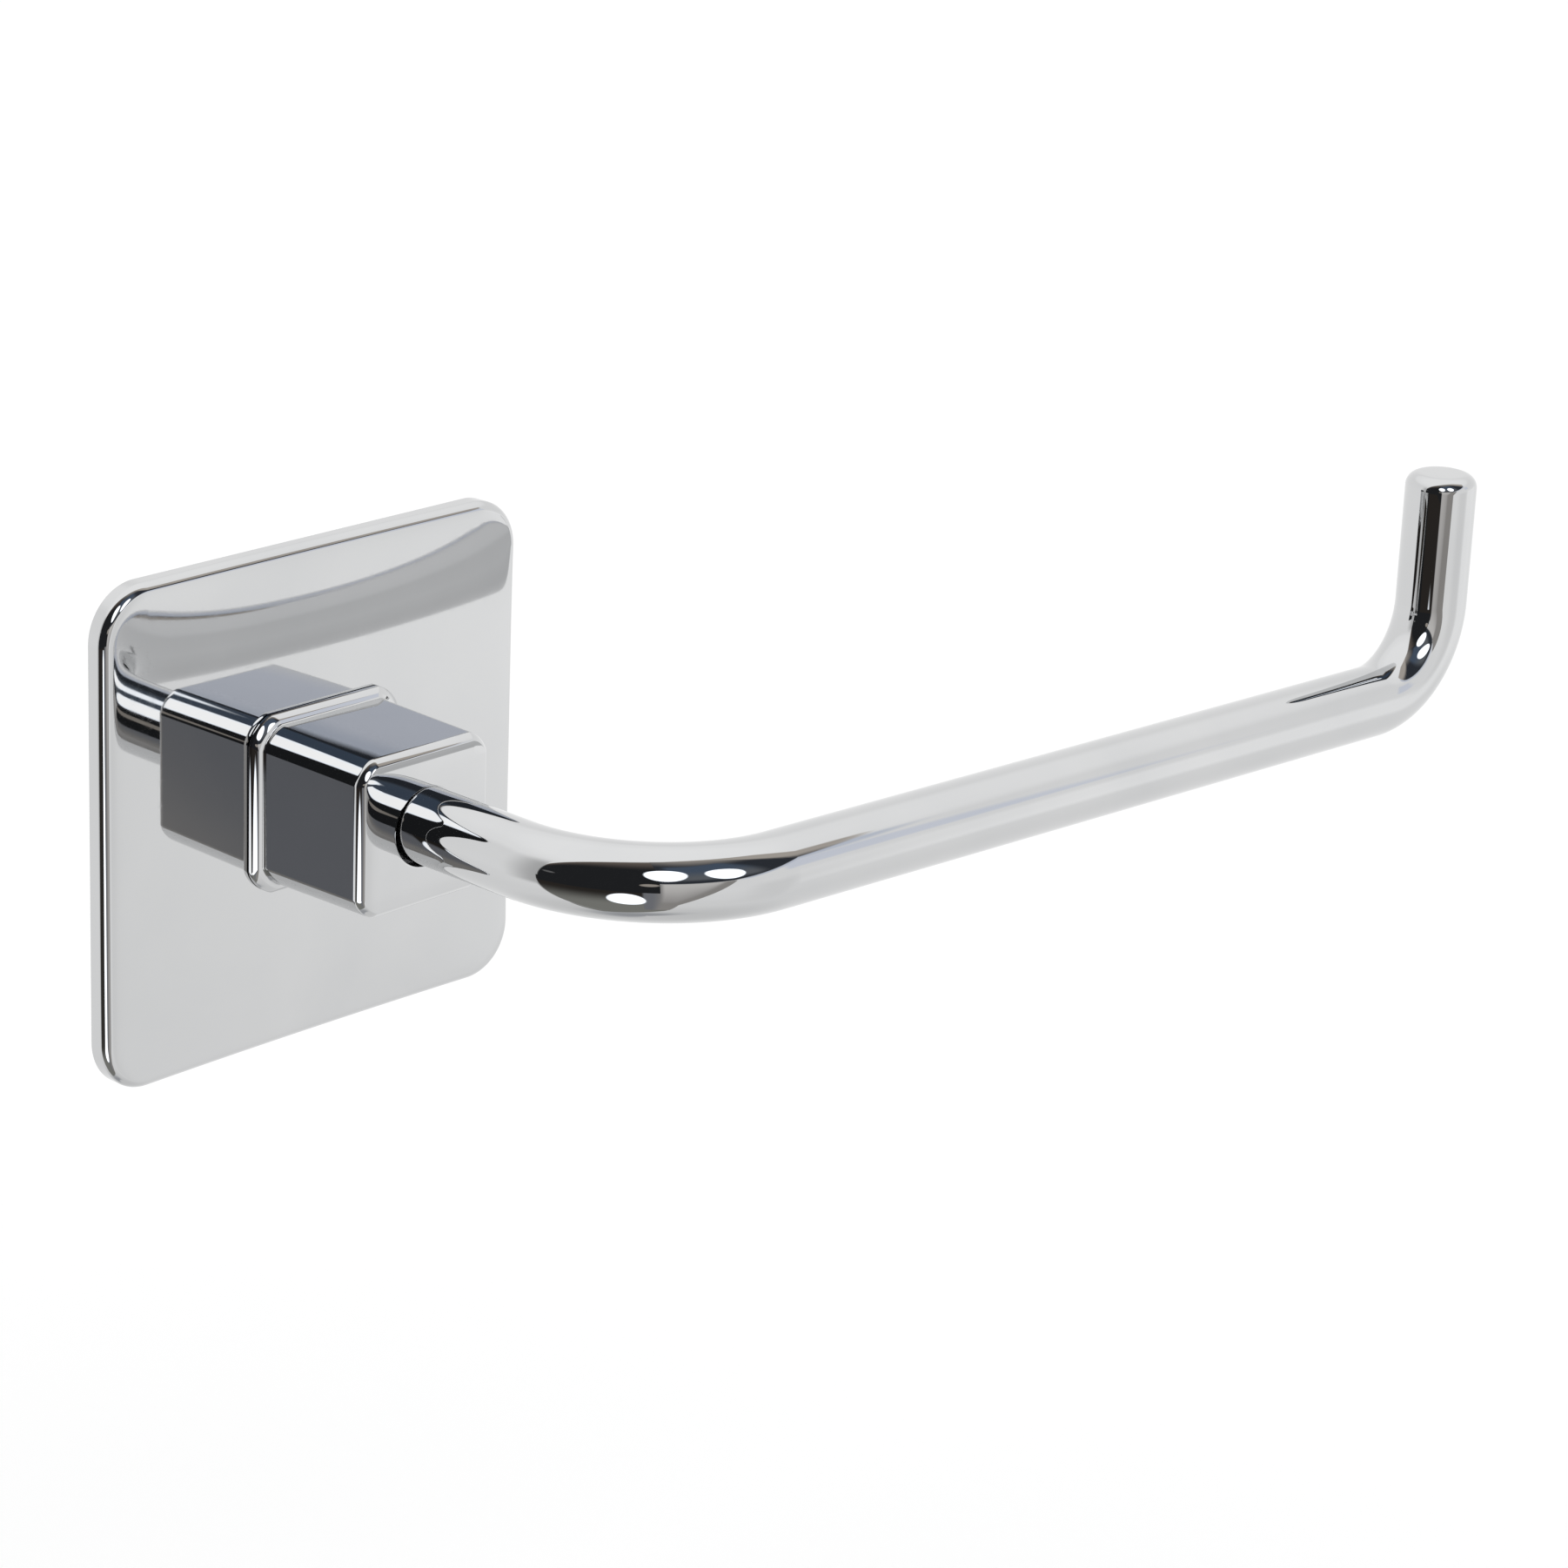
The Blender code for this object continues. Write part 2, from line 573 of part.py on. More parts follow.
def make_arm_screw_and_washers(parts, cutters):
    """The screw that pulls the rod home, with its flat washer and its split spring washer."""
    centre = (ROD_X, ROD_Z)
    steel = make_material("arm_screw_steel", (0.5, 0.5, 0.52), 1.0, 0.35)
    washer_hole = ARM_SCREW_RADIUS + HOLE_CLEARANCE
    y = COUNTERBORE_Y + SEAM

    def washer(name, thickness, start_y, colour):
        profile = (
            (washer_hole, start_y),
            (WASHER_RADIUS, start_y),
            (WASHER_RADIUS, start_y + thickness),
            (washer_hole, start_y + thickness),
        )
        mesh = turned_mesh(name, profile, centre)
        return add_object(name, mesh, parts, make_material(f"{name}_steel", colour, 1.0, 0.4), False)

    washer("flat_washer", FLAT_WASHER_THICKNESS, y, (0.55, 0.56, 0.58))
    y += FLAT_WASHER_THICKNESS + SEAM
    spring = washer("spring_washer", SPRING_WASHER_THICKNESS, y, (0.4, 0.4, 0.42))
    cut_hole(
        spring,
        "spring_washer_split",
        (ROD_X, y + 0.5 * SPRING_WASHER_THICKNESS, ROD_Z + 0.5 * washer_hole),
        (ROD_X, y + 0.5 * SPRING_WASHER_THICKNESS, ROD_Z + 1.5 * WASHER_RADIUS),
        1.0 * MM,
        cutters,
        sides=4,
    )
    y += SPRING_WASHER_THICKNESS + SEAM
    head_y = y + ARM_SCREW_HEAD_HEIGHT
    thread_end = ROD_START_Y - ARM_SCREW_REACH
    profile = (
        (0.0, head_y),
        (ARM_SCREW_HEAD_RADIUS - 0.6 * MM, head_y),
        (ARM_SCREW_HEAD_RADIUS, head_y - 0.6 * MM),
        (ARM_SCREW_HEAD_RADIUS, y),
        (ARM_SCREW_RADIUS, y),
        (ARM_SCREW_RADIUS, thread_end + 0.5 * MM),
        (ARM_SCREW_RADIUS - 0.5 * MM, thread_end),
        (0.0, thread_end),
    )
    screw = add_object("arm_screw", turned_mesh("arm_screw", profile, centre), parts, steel)
    cut_hole(
        screw,
        "arm_screw_hexagon",
        (ROD_X, head_y + 0.5 * MM, ROD_Z),
        (ROD_X, head_y - 1.2 * MM, ROD_Z),
        1.45 * MM,
        cutters,
        sides=6,
    )


def main():
    clear_scene()
    parts = make_collection(OBJECT_NAME)
    cutters = make_collection("cutters")
    make_adhesive_pad(parts)
    make_backing_plate(parts, cutters)
    make_face_plate(parts)
    make_boss_cover(parts, cutters)
    make_boss_core(parts, cutters)
    make_core_screws(parts)
    make_grub_screw(parts, cutters)
    make_arm_rod(parts, cutters)
    make_arm_pin(parts)
    make_arm_screw_and_washers(parts, cutters)


main()
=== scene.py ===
"""Looks of the toilet paper holder: finer chrome meshes, procedural materials, studio light and camera."""

import math

import bmesh
import bpy
from mathutils import Matrix, Vector, noise


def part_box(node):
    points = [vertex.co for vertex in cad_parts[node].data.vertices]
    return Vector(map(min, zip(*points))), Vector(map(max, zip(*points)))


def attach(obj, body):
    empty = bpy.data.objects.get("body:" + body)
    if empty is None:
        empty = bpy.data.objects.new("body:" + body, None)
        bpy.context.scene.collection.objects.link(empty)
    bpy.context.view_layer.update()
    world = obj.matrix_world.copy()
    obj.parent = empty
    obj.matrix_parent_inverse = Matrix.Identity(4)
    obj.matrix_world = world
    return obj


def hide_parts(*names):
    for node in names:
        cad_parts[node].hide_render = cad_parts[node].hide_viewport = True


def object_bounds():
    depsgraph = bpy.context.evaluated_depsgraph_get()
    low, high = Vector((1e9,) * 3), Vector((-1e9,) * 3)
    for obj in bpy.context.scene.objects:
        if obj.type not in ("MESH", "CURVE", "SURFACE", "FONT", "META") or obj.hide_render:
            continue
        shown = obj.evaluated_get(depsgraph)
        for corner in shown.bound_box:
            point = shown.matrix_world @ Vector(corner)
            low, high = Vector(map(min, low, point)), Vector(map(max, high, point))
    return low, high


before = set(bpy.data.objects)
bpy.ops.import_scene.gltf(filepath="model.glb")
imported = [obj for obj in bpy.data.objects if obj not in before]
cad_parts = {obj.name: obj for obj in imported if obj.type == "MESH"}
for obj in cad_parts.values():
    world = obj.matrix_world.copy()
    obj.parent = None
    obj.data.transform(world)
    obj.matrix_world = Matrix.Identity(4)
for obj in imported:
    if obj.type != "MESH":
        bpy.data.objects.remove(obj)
cad_low, cad_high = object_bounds()

MM = 0.001

# Shape values that the frame's boxes don't give. An edge's fullness says how round it is: 2 is an
# even arc and 1 a flat chamfer, and polishing leaves an edge between the two.
PLATE_CORNER = 7.2 * MM
PLATE_CORNER_LEAST = 2.0 * MM        # the face's inner rings keep at least this corner
PLATE_EDGE = 1.2 * MM
PLATE_EDGE_FULLNESS = 1.6
PLATE_SIDE = 0.3 * MM                # straight side between the rounded edge and the back
PLATE_SKIN = 0.8 * MM
PLATE_NECK = 8.0 * MM                # half of the opening behind the boss
PLATE_NECK_CORNER = 1.6 * MM
FACE_BOW = 0.42 * MM                 # how far pressing sets the face's upper and lower edges back
FACE_BOW_POWER = 5.0                 # keeps the bow near those edges
FACE_BOW_SHIFT = -3.0 * MM           # the bow's middle
FACE_BOW_HALF_WIDTH = 25.0 * MM      # further from its middle than this the edges come forward instead
FACE_ROLL = 0.046 * MM               # small roll-off beside the rounded edge
FACE_ROLL_LENGTH = 0.45 * MM
FACE_ROLL_RINGS = (0.1, 0.2, 0.35, 0.55, 0.8, 1.1, 1.5, 2.0, 2.6, 3.3)     # mm inside the edge

BOSS_DRAFT = 0.011
BOSS_CORNER = 3.0 * MM
BOSS_CORNER_FULLNESS = 1.5
BOSS_CORNER_GROWTH = 0.5 * MM        # the flange's corners grow by at most this
BOSS_CORNER_LEAST = 0.6 * MM
BOSS_FRONT_EDGE = 0.85 * MM
BOSS_FRONT_EDGE_DEPTH = 0.9 * MM
BOSS_FRONT_EDGE_FULLNESS = 1.2
BOSS_FACE_ROLL = 0.11 * MM           # the boss's front sinks a little towards its edge
BOSS_FACE_ROLL_LENGTH = 0.85 * MM
BOSS_FACE_ROLL_RINGS = (0.08, 0.18, 0.3, 0.45, 0.65, 0.9, 1.2, 1.6, 2.1, 2.7)     # mm inside the edge
BOSS_WALL = 1.3 * MM
FLANGE_OVERHANG = 1.2 * MM
FLANGE_HEIGHT = 1.45 * MM
FLANGE_EDGE = 0.6 * MM
FLANGE_EDGE_DEPTH = 0.7 * MM
FLANGE_EDGE_FULLNESS = 1.12
FLANGE_SLOPE = math.radians(20.0)    # how far the flange's front leans back to its edge
FLANGE_FILLET = 0.35 * MM
FLANGE_FILLET_DEPTH = 0.7            # share of the fillet's radius that stands above the slope
HOLE_RADIUS = 5.2 * MM
HOLE_EDGE = 0.12 * MM
HOLE_MARGIN = 0.2 * MM               # a ring this far from a rounded edge keeps the flat beside it flat
SIDE_MARGIN = 0.4 * MM

ROD_RADIUS = 5.0 * MM
RUN_DISTANCE = 61.9 * MM
FIRST_BEND_RADIUS = 22.5 * MM
FIRST_BEND_ANGLE = math.radians(88.0)
RUN_LENGTH = 117.6 * MM
SECOND_BEND_RADIUS = 12.6 * MM
SECOND_BEND_ANGLE = math.radians(90.8)
TIP_LENGTH = 18.5 * MM
TIP_EDGE = 1.9 * MM
TIP_MARGIN = 0.3 * MM
ARM_DROOP = math.radians(1.2)

PAD_CORNER = 4.2 * MM
PAD_CORNER_LEAST = 1.0 * MM
PAD_BULGE = 0.18 * MM
PAD_UNEVEN = 0.08 * MM
PAD_UNEVEN_SCALE = 220.0
PAD_FACE_RINGS = (0.0, 1.0, 4.0, 10.0)     # mm inside the pad's outline

CORNER_STEPS = 24
FACE_SIDE_STEPS = 36
FACE_RINGS = 30
INSIDE_RINGS = 4                     # rings of the boss shell that line its hole and its inside
ROD_SIDES = 96
BEND_STEP = math.radians(3.0)
PAD_SIDE_STEPS = 30
PAD_BULGE_STEPS = 10
SHARP_ANGLE = math.radians(40.0)     # edges sharper than this keep a crease


def middle(node):
    low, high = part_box(node)
    return (low + high) / 2.0


# Mesh helpers -------------------------------------------------------------------------------
def rounded_ring(half_width, half_height, corner, y, centre, side_steps=1, fullness=2.0):
    """An upright ring with rounded corners; fullness 2 rounds them evenly and less flattens their middle."""
    points = []
    power = 2.0 / fullness
    for quarter, (side_x, side_z) in enumerate(((1, 1), (-1, 1), (-1, -1), (1, -1))):
        for step in range(CORNER_STEPS + 1):
            angle = math.radians(90.0) * (quarter + step / CORNER_STEPS)
            x = centre.x + side_x * (half_width - corner + corner * abs(math.cos(angle)) ** power)
            z = centre.z + side_z * (half_height - corner + corner * abs(math.sin(angle)) ** power)
            points.append(Vector((x, y, z)))
    if side_steps == 1:
        return points
    full = []
    for index, point in enumerate(points):
        full.append(point)
        if (index + 1) % (CORNER_STEPS + 1) == 0:
            following = points[(index + 1) % len(points)]
            for step in range(1, side_steps):
                full.append(point.lerp(following, step / side_steps))
    return full


def circle_ring(radius, y, centre):
    count = 4 * (CORNER_STEPS + 1)
    points = []
    for index in range(count):
        angle = 2.0 * math.pi * (index + 0.5) / count
        points.append(Vector((centre.x + radius * math.cos(angle), y, centre.z + radius * math.sin(angle))))
    return points


def arc_offsets(radius, steps, start_degrees, end_degrees):
    points = []
    for step in range(steps + 1):
        angle = math.radians(start_degrees + (end_degrees - start_degrees) * step / steps)
        points.append((radius * math.cos(angle), radius * math.sin(angle)))
    return points


def polished_edge_offsets(width, depth, fullness, steps):
    """A quarter of a superellipse: an edge that is flatter in its middle than a round one."""
    points = []
    for step in range(steps + 1):
        angle = math.radians(90.0) * step / steps
        across = width * max(0.0, math.cos(angle)) ** (2.0 / fullness)
        points.append((across, depth * math.sin(angle) ** (2.0 / fullness)))
    return points


def loft(name, rings, closed, capped=False):
    """Join rings in order into one skin; closed joins the last to the first, capped fills both ends."""
    shape = bmesh.new()
    loops = [[shape.verts.new(point) for point in ring] for ring in rings]
    pairs = list(zip(loops, loops[1:]))
    if closed:
        pairs.append((loops[-1], loops[0]))
    for loop, following in pairs:
        for start in range(len(loop)):
            end = (start + 1) % len(loop)
            shape.faces.new((loop[start], loop[end], following[end], following[start]))
    if capped:
        shape.faces.new(loops[0])
        shape.faces.new(loops[-1])
    bmesh.ops.recalc_face_normals(shape, faces=shape.faces)
    mesh = bpy.data.meshes.new(name)
    shape.to_mesh(mesh)
    shape.free()
    for face in mesh.polygons:
        face.use_smooth = True
    mesh.set_sharp_from_angle(angle=SHARP_ANGLE)
    piece = bpy.data.objects.new(name, mesh)
    bpy.context.scene.collection.objects.link(piece)
    return piece


# Wall plate ---------------------------------------------------------------------------------
def make_wall_plate():
    low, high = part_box("face_plate")
    centre = (low + high) / 2.0
    half_width = (high.x - low.x) / 2.0
    half_height = (high.z - low.z) / 2.0
    boss = middle("boss_cover")
    rings = []

    def bow(point):
        """Pressing leaves a bow along the face's upper and lower edges."""
        up = abs(point.z - centre.z) / half_width
        across = (point.x - FACE_BOW_SHIFT) / FACE_BOW_HALF_WIDTH
        return FACE_BOW * up ** FACE_BOW_POWER * (1.0 - across * across)

    def outline(inset, y, shaped):
        corner = max(PLATE_CORNER - inset, PLATE_CORNER_LEAST)
        ring = rounded_ring(half_width - inset, half_height - inset, corner, y, centre, FACE_SIDE_STEPS)
        roll = FACE_ROLL * math.exp(-max(0.0, inset - PLATE_EDGE) / FACE_ROLL_LENGTH)
        if shaped:
            for point in ring:
                point.y += bow(point) + roll
        rings.append(ring)

    outline(0.0, high.y, False)
    outline(0.0, low.y + PLATE_EDGE + PLATE_SIDE, True)
    for across, along in polished_edge_offsets(PLATE_EDGE, PLATE_EDGE, PLATE_EDGE_FULLNESS, 20):
        outline(PLATE_EDGE - across, low.y + PLATE_EDGE - along, True)
    for inset in FACE_ROLL_RINGS:
        outline(PLATE_EDGE + inset * MM, low.y, True)
    last = rings[-1]
    opening = rounded_ring(PLATE_NECK, PLATE_NECK, PLATE_NECK_CORNER, low.y, boss, FACE_SIDE_STEPS)
    for step in range(1, FACE_RINGS + 1):
        ring = []
        for outer, inner in zip(last, opening):
            point = outer.lerp(inner, step / FACE_RINGS)
            point.y = low.y + bow(point)
            ring.append(point)
        rings.append(ring)
    back_y = low.y + PLATE_SKIN
    rings.append(rounded_ring(PLATE_NECK, PLATE_NECK, PLATE_NECK_CORNER, back_y, boss, FACE_SIDE_STEPS))
    outline(PLATE_SKIN, back_y, False)
    outline(PLATE_SKIN, high.y, False)
    return loft("mirror_plate", rings, closed=True)


# Boss ---------------------------------------------------------------------------------------
def make_boss_shell():
    low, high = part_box("boss_cover")
    plate_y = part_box("face_plate")[0].y
    centre = (low + high) / 2.0
    depth = plate_y - low.y
    half_width = (high.x - low.x) / 2.0 - FLANGE_OVERHANG
    half_height = (high.z - low.z) / 2.0 - FLANGE_OVERHANG
    rings = []

    def outline(outset, height):
        """One ring, outset from the boss's side at its foot and height from the plate."""
        grow = outset - BOSS_DRAFT * height
        corner = max(BOSS_CORNER + min(outset, BOSS_CORNER_GROWTH), BOSS_CORNER_LEAST)
        rings.append(rounded_ring(half_width + grow, half_height + grow, corner, plate_y - height, centre,
                                  fullness=BOSS_CORNER_FULLNESS))

    outline(FLANGE_OVERHANG, plate_y - high.y)
    for across, along in polished_edge_offsets(FLANGE_EDGE, FLANGE_EDGE_DEPTH, FLANGE_EDGE_FULLNESS, 18):
        outline(FLANGE_OVERHANG - FLANGE_EDGE + across, FLANGE_HEIGHT - FLANGE_EDGE_DEPTH + along)
    slope_top = FLANGE_HEIGHT + (FLANGE_OVERHANG - FLANGE_EDGE) * math.tan(FLANGE_SLOPE)
    fillet_height = slope_top + FLANGE_FILLET * FLANGE_FILLET_DEPTH
    for across, along in arc_offsets(FLANGE_FILLET, 10, 270.0 - math.degrees(FLANGE_SLOPE), 180.0):
        outline(FLANGE_FILLET + across, fillet_height + along)
    outline(0.0, fillet_height + SIDE_MARGIN)

    edge_start = depth - BOSS_FACE_ROLL - BOSS_FRONT_EDGE_DEPTH
    outline(0.0, edge_start - SIDE_MARGIN)
    for across, along in polished_edge_offsets(BOSS_FRONT_EDGE, BOSS_FRONT_EDGE_DEPTH,
                                               BOSS_FRONT_EDGE_FULLNESS, 20):
        outline(across - BOSS_FRONT_EDGE, edge_start + along)
    for inset in BOSS_FACE_ROLL_RINGS:
        sunk = BOSS_FACE_ROLL * math.exp(-inset * MM / BOSS_FACE_ROLL_LENGTH)
        outline(-BOSS_FRONT_EDGE - inset * MM, depth - sunk)

    rings.append(circle_ring(HOLE_RADIUS + HOLE_EDGE + HOLE_MARGIN, low.y, centre))
    for across, along in arc_offsets(HOLE_EDGE, 5, 90.0, 180.0):
        rings.append(circle_ring(HOLE_RADIUS + HOLE_EDGE + across, low.y + HOLE_EDGE - along, centre))
    rings.append(circle_ring(HOLE_RADIUS, low.y + BOSS_WALL, centre))
    outline(-BOSS_WALL, depth - BOSS_WALL)
    outline(-BOSS_WALL, plate_y - high.y)
    shell = loft("boss_shell", rings, closed=True)
    # the rings lining the hole and the inside are marked for a duller uncoated finish and a near-black
    # painted shade
    uncoated_and_painted_shade = shell.data.attributes.new("uncoated_and_painted_shade", "FLOAT", "POINT")
    first_inside = (len(rings) - INSIDE_RINGS) * len(rings[0])
    for index in range(first_inside, len(shell.data.vertices)):
        uncoated_and_painted_shade.data[index].value = 1.0
    return shell


# Rod ----------------------------------------------------------------------------------------
def rod_stations():
    """(point, direction) along the rod's centreline, from the boss end to the tip."""
    outward = Vector((0.0, -1.0, 0.0))
    sideways = Vector((1.0, 0.0, 0.0))
    upward = Vector((0.0, 0.0, 1.0))
    start_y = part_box("arm_rod")[1].y
    stations = [(Vector((0.0, start_y, 0.0)), outward)]
    bend_start = outward * (RUN_DISTANCE - FIRST_BEND_RADIUS)
    steps = round(FIRST_BEND_ANGLE / BEND_STEP)
    for step in range(steps + 1):
        angle = FIRST_BEND_ANGLE * step / steps
        across = sideways * (1.0 - math.cos(angle))
        point = bend_start + FIRST_BEND_RADIUS * (across + outward * math.sin(angle))
        stations.append((point, outward * math.cos(angle) + sideways * math.sin(angle)))
    along = stations[-1][1]
    bend_start = stations[-1][0] + along * RUN_LENGTH
    steps = round(SECOND_BEND_ANGLE / BEND_STEP)
    for step in range(steps + 1):
        angle = SECOND_BEND_ANGLE * step / steps
        rise = upward * (1.0 - math.cos(angle))
        point = bend_start + SECOND_BEND_RADIUS * (rise + along * math.sin(angle))
        stations.append((point, along * math.cos(angle) + upward * math.sin(angle)))
    point, direction = stations[-1]
    stations.append((point + direction * (TIP_LENGTH - TIP_EDGE), direction))
    droop = Matrix.Rotation(ARM_DROOP, 3, "Y")
    screw = middle("arm_screw")
    place = Vector((screw.x, 0.0, screw.z))
    return [(droop @ point + place, droop @ direction) for point, direction in stations]


def make_bent_rod():
    stations = rod_stations()
    side = Vector((0.0, 0.0, 1.0))
    rings = []

    def ring(point, direction, radius):
        across = side.cross(direction).normalized()
        up = direction.cross(across)
        ring_points = []
        for index in range(ROD_SIDES):
            angle = 2.0 * math.pi * index / ROD_SIDES
            ring_points.append(point + radius * (across * math.cos(angle) + up * math.sin(angle)))
        return ring_points

    previous = stations[0][1]
    for point, direction in stations:
        side = previous.rotation_difference(direction) @ side
        previous = direction
        rings.append(ring(point, direction, ROD_RADIUS))
    point, direction = stations[-1]
    for across, along in arc_offsets(TIP_EDGE, 12, 0.0, 90.0)[1:]:
        rings.append(ring(point + direction * along, direction, ROD_RADIUS - TIP_EDGE + across))
    rings.append(ring(point + direction * TIP_EDGE, direction, ROD_RADIUS - TIP_EDGE - TIP_MARGIN))
    return loft("bent_rod", rings, closed=False, capped=True)


# Foam tape pad ------------------------------------------------------------------------------
def make_foam_pad():
    """A die-cut pad: its sides bulge a little between the faces and its outline isn't quite even."""
    low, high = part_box("adhesive_pad")
    centre = (low + high) / 2.0
    rings = []

    def outline(inset, y):
        corner = max(PAD_CORNER - inset, PAD_CORNER_LEAST)
        ring = rounded_ring((high.x - low.x) / 2.0 - inset, (high.z - low.z) / 2.0 - inset,
                            corner, y, centre, PAD_SIDE_STEPS)
        for point in ring:
            outwards = Vector((point.x - centre.x, 0.0, point.z - centre.z))
            uneven = noise.noise(point * PAD_UNEVEN_SCALE) * PAD_UNEVEN
            point -= outwards.normalized() * (PAD_UNEVEN + uneven)
        rings.append(ring)

    for inset in reversed(PAD_FACE_RINGS):
        outline(inset * MM + PAD_BULGE, high.y)
    for step in range(PAD_BULGE_STEPS + 1):
        along = step / PAD_BULGE_STEPS
        bulge = PAD_BULGE * math.sin(math.pi * along) ** 0.5 if 0 < step < PAD_BULGE_STEPS else 0.0
        outline(PAD_BULGE - bulge, high.y + (low.y - high.y) * along)
    for inset in PAD_FACE_RINGS[1:]:
        outline(inset * MM + PAD_BULGE, low.y)
    return loft("foam_pad", rings, closed=False, capped=True)


# Materials ----------------------------------------------------------------------------------
class Nodes:
    """Short calls that add and join the nodes of one material."""

    def __init__(self, name):
        self.material = bpy.data.materials.new(name)
        self.material.use_nodes = True
        self.nodes = self.material.node_tree.nodes
        self.links = self.material.node_tree.links
        self.shader = self.nodes["Principled BSDF"]
        self.place = self.nodes.new("ShaderNodeTexCoord").outputs["Object"]

    def join(self, output, socket):
        self.links.new(output, socket)

    def stretched(self, scale, turn=(0.0, 0.0, 0.0)):
        mapping = self.nodes.new("ShaderNodeMapping")
        mapping.inputs["Scale"].default_value = scale
        mapping.inputs["Rotation"].default_value = turn
        self.join(self.place, mapping.inputs["Vector"])
        return mapping.outputs["Vector"]

    def noise(self, scale, detail=2.0, place=None, distortion=0.0):
        texture = self.nodes.new("ShaderNodeTexNoise")
        texture.inputs["Scale"].default_value = scale
        texture.inputs["Detail"].default_value = detail
        texture.inputs["Distortion"].default_value = distortion
        self.join(place or self.place, texture.inputs["Vector"])
        return texture.outputs["Fac"]

    def cells(self, scale):
        texture = self.nodes.new("ShaderNodeTexVoronoi")
        texture.inputs["Scale"].default_value = scale
        self.join(self.place, texture.inputs["Vector"])
        return texture.outputs["Distance"]

    def spread(self, value, low=0.0, high=1.0, start=0.0, end=1.0):
        """Maps a texture value from start..end to low..high."""
        change = self.nodes.new("ShaderNodeMapRange")
        change.inputs["From Min"].default_value = start
        change.inputs["From Max"].default_value = end
        change.inputs["To Min"].default_value = low
        change.inputs["To Max"].default_value = high
        self.join(value, change.inputs["Value"])
        return change.outputs["Result"]

    def blend(self, share, first, second):
        """Mixes two colours, or two outputs, by a texture value."""
        mix = self.nodes.new("ShaderNodeMix")
        mix.data_type = "RGBA"
        self.join(share, mix.inputs[0])
        for socket, colour in ((mix.inputs[6], first), (mix.inputs[7], second)):
            if isinstance(colour, tuple):
                socket.default_value = (*colour, 1.0)
            else:
                self.join(colour, socket)
        return mix.outputs[2]

    def sum(self, first, second):
        add = self.nodes.new("ShaderNodeMath")
        add.operation = "ADD"
        self.join(first, add.inputs[0])
        self.join(second, add.inputs[1])
        return add.outputs["Value"]

    def bump(self, height, depth, below=None):
        relief = self.nodes.new("ShaderNodeBump")
        relief.inputs["Strength"].default_value = 1.0
        relief.inputs["Distance"].default_value = depth
        self.join(height, relief.inputs["Height"])
        if below is not None:
            self.join(below, relief.inputs["Normal"])
        return relief.outputs["Normal"]

    def attribute(self, name):
        read = self.nodes.new("ShaderNodeAttribute")
        read.attribute_name = name
        return read.outputs["Fac"]

    def finish(self, colour, roughness, normal):
        self.join(colour, self.shader.inputs["Base Color"])
        self.join(roughness, self.shader.inputs["Roughness"])
        self.join(normal, self.shader.inputs["Normal"])
        return self.material


def chrome(name, cloud_scale, wave_scale, wave_depth, polish):
    """Mirror chrome: faint clouds in its tint, slow waves, fine haze and a few hairline rubs."""
    made = Nodes(name)
    clouds = made.spread(made.noise(cloud_scale, detail=4.0, distortion=0.6), start=0.3, end=0.7)
    colour = made.blend(clouds, (0.606, 0.612, 0.618), (0.634, 0.638, 0.642))
    haze = made.spread(made.noise(900.0, detail=3.0), low=polish, high=polish + 0.022, start=0.35, end=0.75)
    slanted = made.stretched(scale=(1.0, 1.0, 9.0), turn=(0.0, math.radians(28.0), 0.0))
    rubs = made.spread(made.noise(260.0, place=slanted), high=0.05, start=0.68, end=0.8)
    rough = made.sum(haze, rubs)
    waves = made.bump(made.noise(wave_scale, detail=1.0), depth=wave_depth)
    made.shader.inputs["Metallic"].default_value = 1.0
    return made, colour, rough, waves


def coated_chrome(name, cloud_scale, wave_scale, wave_depth, polish):
    made, colour, rough, waves = chrome(name, cloud_scale, wave_scale, wave_depth, polish)
    return made.finish(colour, rough, waves)


def boss_chrome():
    """The coat doesn't reach into the boss's hole and inside, which stay dull; they are also painted
    near-black as shade for the shadowed recess.
    """
    made, colour, rough, waves = chrome("boss_mirror", cloud_scale=70.0, wave_scale=60.0,
                                        wave_depth=0.012 * MM, polish=0.012)
    inside = made.attribute("uncoated_and_painted_shade")
    # painted shade: the hole and the inside are coloured near-black for the shadow in the recess
    colour = made.blend(inside, colour, (0.018, 0.018, 0.02))
    rough = made.sum(rough, made.spread(inside, high=0.6))
    made.join(made.spread(inside, low=1.0, high=0.2), made.shader.inputs["Metallic"])
    return made.finish(colour, rough, waves)


def zinc_plated(name, dark, light, spangle):
    """Zinc-plated sheet: soft spangle, satin haze and a fine grain."""
    made = Nodes(name)
    colour = made.blend(made.spread(made.cells(spangle), end=0.9), dark, light)
    rough = made.spread(made.noise(420.0, detail=4.0), low=0.26, high=0.44, start=0.3, end=0.7)
    grain = made.bump(made.noise(2600.0, detail=3.0), depth=0.012 * MM)
    made.shader.inputs["Metallic"].default_value = 1.0
    return made.finish(colour, rough, grain)


def rough_casting(name):
    """A tumbled zinc casting: matt grey skin, pits and worn bright spots."""
    made = Nodes(name)
    worn = made.spread(made.noise(190.0, detail=5.0), start=0.35, end=0.7)
    colour = made.blend(worn, (0.2, 0.205, 0.215), (0.36, 0.365, 0.385))
    rough = made.spread(made.noise(700.0, detail=4.0), low=0.42, high=0.68, start=0.3, end=0.7)
    skin = made.bump(made.noise(1500.0, detail=5.0), depth=0.05 * MM)
    pits = made.bump(made.spread(made.cells(900.0), end=0.25), depth=0.03 * MM, below=skin)
    made.shader.inputs["Metallic"].default_value = 0.9
    return made.finish(colour, rough, pits)


